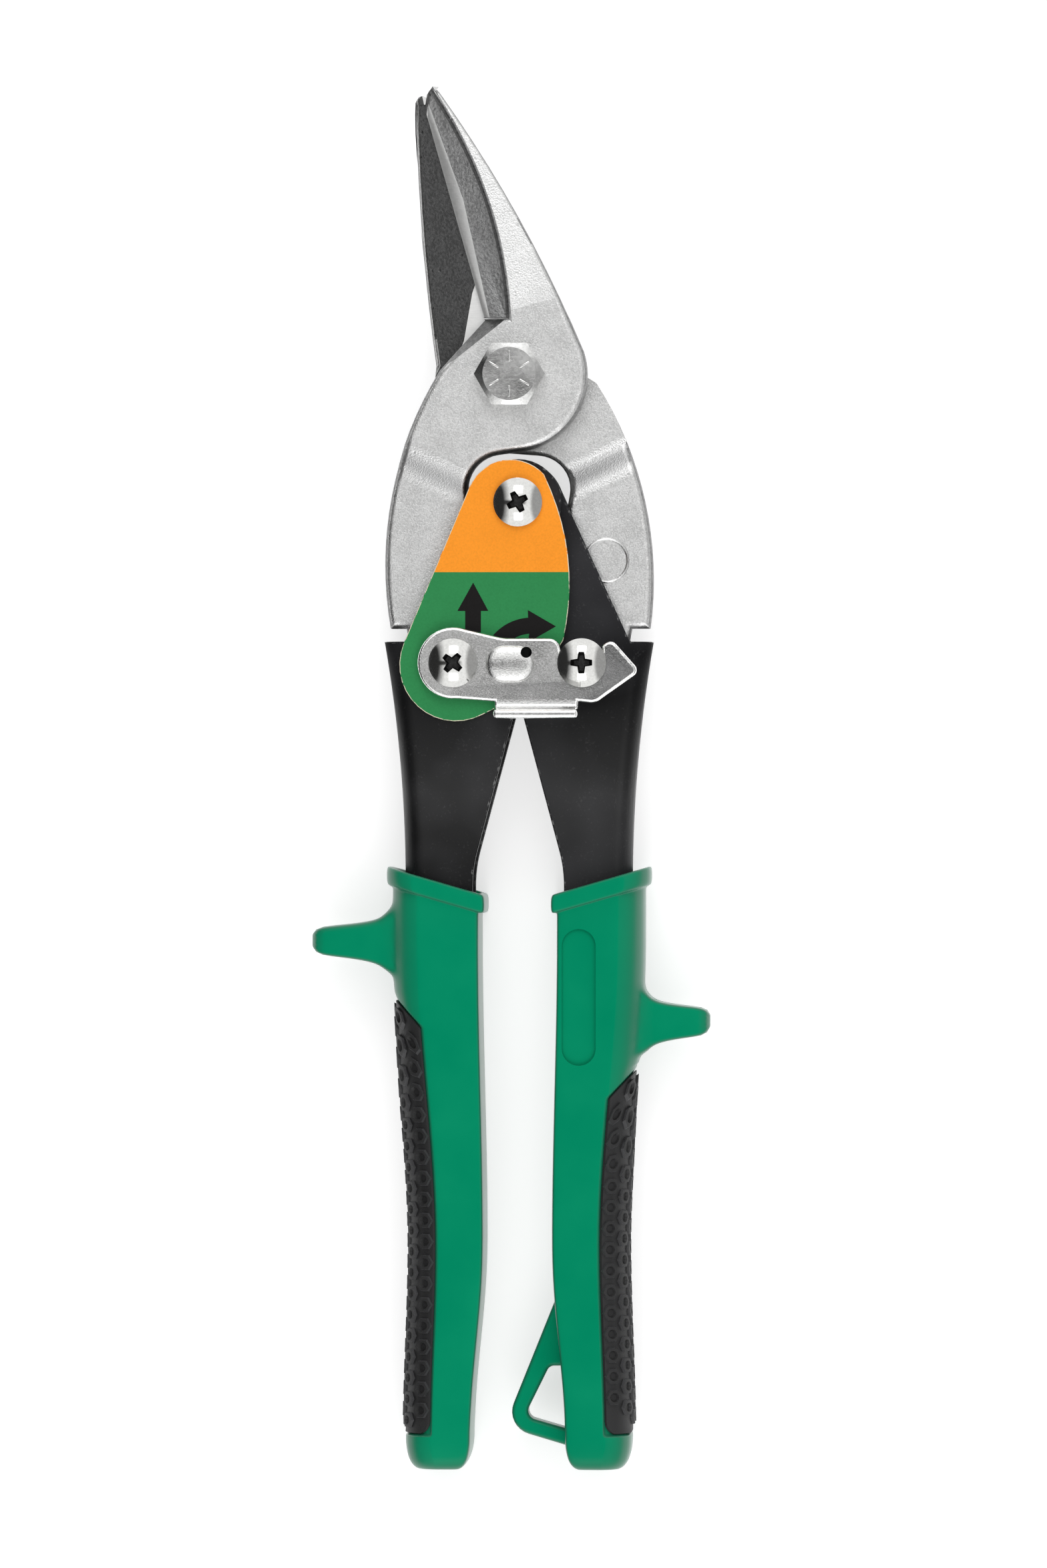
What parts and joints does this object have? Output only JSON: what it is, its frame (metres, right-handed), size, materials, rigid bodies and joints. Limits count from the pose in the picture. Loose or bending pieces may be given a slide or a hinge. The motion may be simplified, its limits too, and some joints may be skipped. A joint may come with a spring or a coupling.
{
  "type": "aviation snips",
  "caption": "Compound-action sheet-metal snips for right-hand curves: forged jaws linked to channel handles with moulded grips, a hook latch across the screws and a hang loop.",
  "frame": {"origin": "centre of the closed tool in length and width, on the plane its back lies on", "axes": "+Y from the grip ends to the blade tips, +Z out of the front, where the label and the latch are, +X to the right seen from the front"},
  "size_m": [0.0713, 0.25, 0.0234],
  "materials": {
    "jaw_steel": "satin nickel over forged steel, ground edges",
    "bright_zinc": "bright zinc plate",
    "bolt_steel": "satin zinc plate",
    "black_steel": "black oxide, semi-gloss",
    "green_plastic": "moulded, satin",
    "black_rubber": "matt, raised hexagon texture",
    "printed_plate": "printed, orange above green",
    "bearing_steel": "plain, ground",
    "spring_steel": "drawn wire"
  },
  "bodies": {
    "left_handle": {"left_handle": "black_steel", "left_grip": "green_plastic", "left_grip_pad": "black_rubber", "label_plate": "printed_plate", "latch_spring_washer": "bright_zinc", "handle_pivot_screw": "bright_zinc", "handle_pivot_nut": "bright_zinc", "left_pivot_screw": "bright_zinc", "left_pivot_nut": "bright_zinc", "left_pivot_bush": "bearing_steel", "left_tang_washers": "bearing_steel", "return_spring": "spring_steel", "spring_bush": "bearing_steel"},
    "right_handle": {"right_handle": "black_steel", "right_grip": "green_plastic", "right_grip_pad": "black_rubber", "right_pivot_screw": "bright_zinc", "right_pivot_nut": "bright_zinc", "right_pivot_bush": "bearing_steel", "latch_spacer": "bright_zinc"},
    "upper_jaw": {"upper_jaw": "jaw_steel", "jaw_pivot_bolt": "bolt_steel", "jaw_pivot_washer": "bolt_steel", "jaw_pivot_nut": "bolt_steel"},
    "lower_jaw": {"lower_jaw": "jaw_steel"},
    "latch": {"latch": "bright_zinc"}
  },
  "joints": [
    {"name": "handle_open", "type": "hinge", "parent": "left_handle", "child": "right_handle", "pos_m": [0.0015, 0.0495, 0.0096], "axis": [0, 0, 1], "range_deg": [0, 34]},
    {"name": "upper_jaw_swing", "type": "hinge", "parent": "left_handle", "child": "upper_jaw", "pos_m": [-0.0101, 0.0205, 0.0096], "axis": [0, 0, 1], "range_deg": [0, 7.3]},
    {"name": "lower_jaw_swing", "type": "hinge", "parent": "upper_jaw", "child": "lower_jaw", "pos_m": [0, 0.0726, 0.0096], "axis": [0, 0, 1], "range_deg": [0, 18.2]},
    {"name": "latch_swing", "type": "hinge", "parent": "left_handle", "child": "latch", "pos_m": [-0.0101, 0.0205, 0.0096], "axis": [0, 0, 1], "range_deg": [-75, 0]}
  ],
  "couplings": [
    {"joint": "upper_jaw_swing", "follows": "handle_open", "ratio": 0.211},
    {"joint": "lower_jaw_swing", "follows": "handle_open", "ratio": 0.532},
    {"joint": "latch_swing", "follows": "handle_open", "ratio": -2.2}
  ]
}
